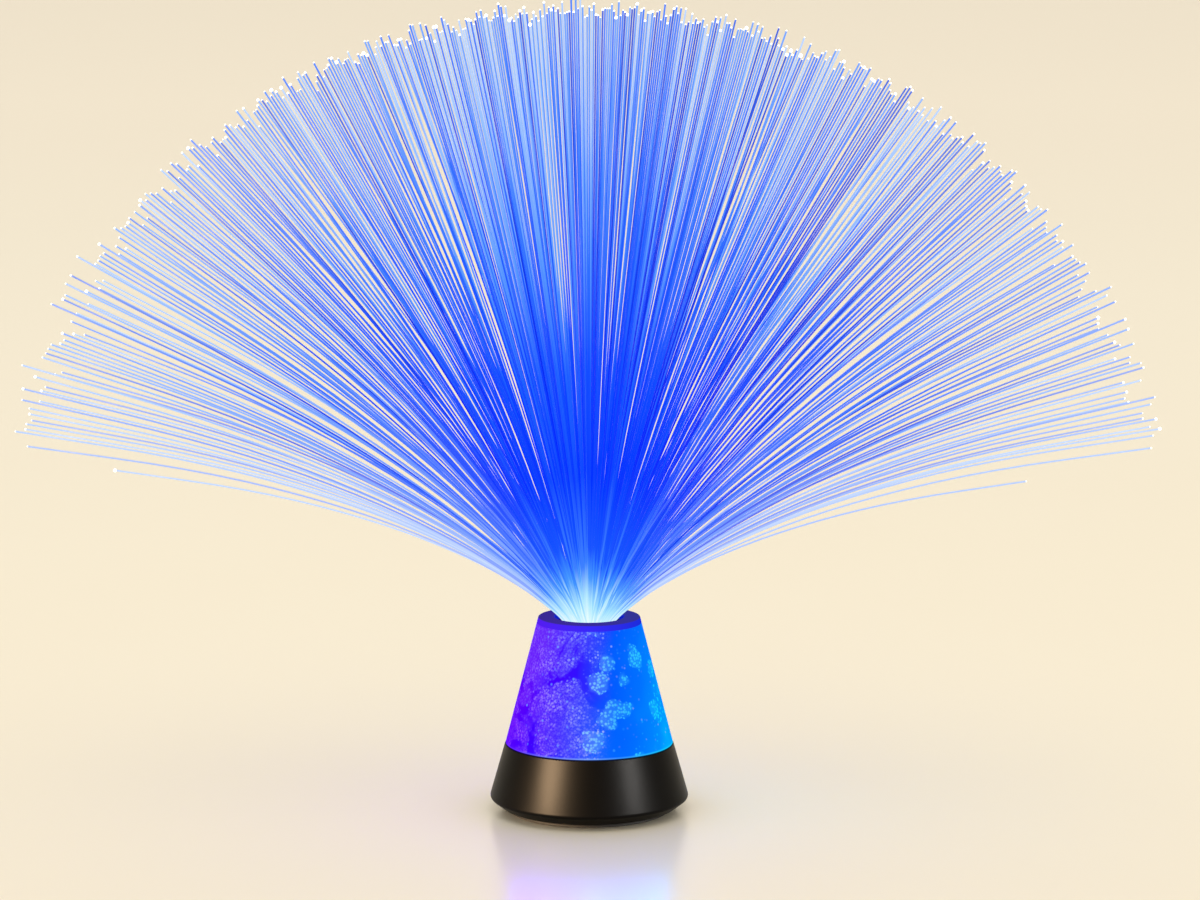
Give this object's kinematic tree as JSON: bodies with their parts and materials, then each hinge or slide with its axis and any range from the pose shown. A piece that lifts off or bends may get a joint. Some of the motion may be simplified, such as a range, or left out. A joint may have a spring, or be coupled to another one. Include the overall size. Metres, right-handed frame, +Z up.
{
  "type": "fiber optic lamp",
  "caption": "Battery table lamp: conical lit base with a printed shade and a wide fan of plastic optical fibres that plug in from above.",
  "frame": {"origin": "on the table, under the middle of the foot ring", "axes": "+X to the right along the wide side of the spray, +Y to the back, +Z up"},
  "size_m": [0.4607, 0.2005, 0.3301],
  "materials": {
    "black_plastic": "satin, fine moulded grain",
    "rubber": "matt",
    "shade_print": "translucent, lit violet to blue, printed with clusters of dots",
    "cap_plastic": "translucent dark violet, smooth",
    "fibre": "clear acrylic fibre, lit blue, bright cut tips",
    "potting": "clear resin, polished end",
    "ferrule_metal": "turned",
    "white_plastic": "moulded, satin",
    "steel": "zinc plated",
    "contact_metal": "nickel plated strip",
    "cell_jacket": "plain printed film, metal ends",
    "board": "white solder mask",
    "led": "clear lens in white case",
    "chip": "moulded epoxy",
    "wire_red": "insulation",
    "wire_black": "insulation"
  },
  "bodies": {
    "base": {"foot_ring": "rubber", "bottom_cover": "black_plastic", "cover_screws": "steel", "battery_left": "cell_jacket", "battery_middle": "cell_jacket", "battery_right": "cell_jacket", "contact_positive": "contact_metal", "contact_negative": "contact_metal", "bridge_front": "contact_metal", "bridge_rear": "contact_metal", "switch_body": "steel", "base_shell": "black_plastic", "reflector_tray": "white_plastic", "light_board": "board", "board_screws": "steel", "main_led": "led", "shade_leds": "led", "controller_chip": "chip", "wire_positive": "wire_red", "wire_switched": "wire_red", "wire_negative": "wire_black", "shade": "shade_print", "top_cap": "cap_plastic", "ferrule_socket": "white_plastic"},
    "spray": {"ferrule": "ferrule_metal", "bundle_end": "potting", "fibres_ring_1": "fibre", "fibres_ring_2": "fibre", "fibres_ring_3": "fibre", "fibres_ring_4": "fibre", "fibres_ring_5": "fibre", "fibres_ring_6": "fibre", "fibres_ring_7": "fibre", "fibres_ring_8": "fibre", "fibres_ring_9": "fibre", "fibres_ring_10": "fibre", "fibres_ring_11": "fibre", "fibres_ring_12": "fibre"},
    "battery_door": {"battery_door": "black_plastic"},
    "switch_knob": {"switch_knob": "black_plastic"}
  },
  "joints": [
    {"name": "spray_lift", "type": "slide", "parent": "base", "child": "spray", "axis": [0, 0, 1], "range_m": [0, 0.04]},
    {"name": "door_hinge", "type": "hinge", "parent": "base", "child": "battery_door", "pos_m": [0, -0.02425, 0.003], "axis": [-1, 0, 0], "range_deg": [0, 90]},
    {"name": "switch_slide", "type": "slide", "parent": "base", "child": "switch_knob", "axis": [0, 1, 0], "range_m": [0, 0.0024]}
  ]
}
